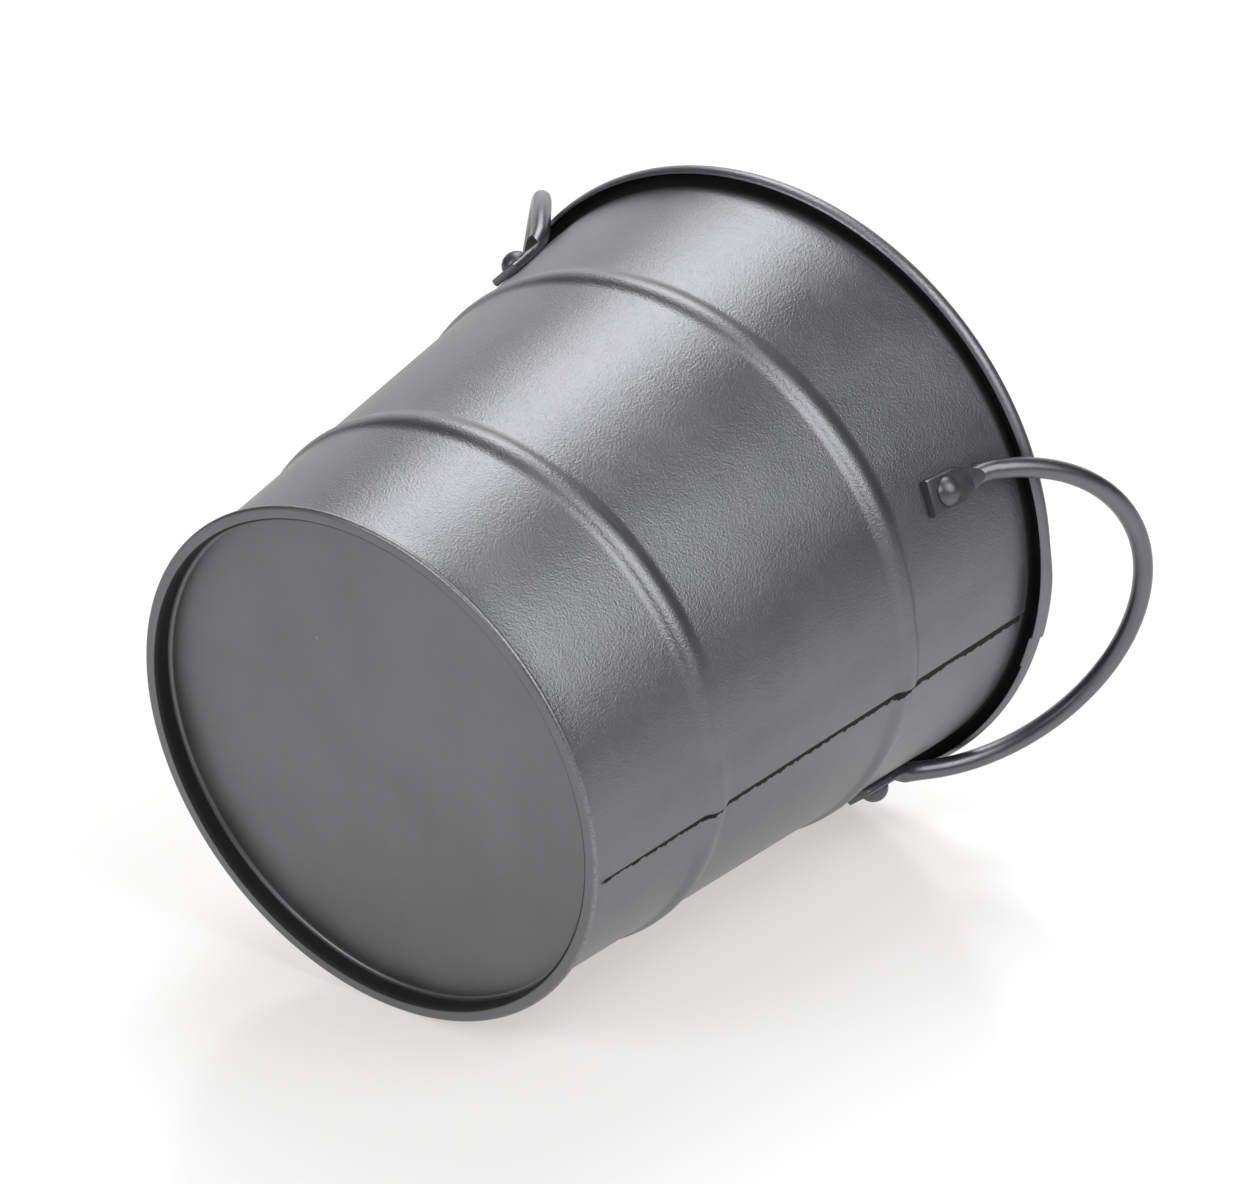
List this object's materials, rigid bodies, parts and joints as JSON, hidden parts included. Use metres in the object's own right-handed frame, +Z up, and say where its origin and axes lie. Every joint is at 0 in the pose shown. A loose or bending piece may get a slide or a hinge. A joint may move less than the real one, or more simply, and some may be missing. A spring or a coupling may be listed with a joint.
{
  "type": "steel pail",
  "caption": "Small tapered sheet-steel pail with a rolled rim, two swaged beads, a lap seam, a recessed bottom and wire side handles riveted under the rim.",
  "frame": {"origin": "centre of the base ring, in the plane that the pail stands on", "axes": "+Z up the pail's axis and out of its mouth, +X to the handle beside the lap seam, +Y across the handles"},
  "size_m": [0.1526, 0.131, 0.1456],
  "materials": {
    "body_coat": "charcoal powder coat, satin, fine orange peel",
    "bottom_coat": "charcoal powder coat, satin to matt, nearly smooth",
    "wire_coat": "charcoal powder coat, satin, smooth",
    "rivet_coat": "charcoal powder coat, satin, smooth"
  },
  "bodies": {
    "root": {"pail_body": "body_coat", "bottom_pan": "bottom_coat", "handle_right": "wire_coat", "handle_left": "wire_coat", "rivet_right_front": "rivet_coat", "rivet_right_back": "rivet_coat", "rivet_left_front": "rivet_coat", "rivet_left_back": "rivet_coat"}
  },
  "joints": []
}
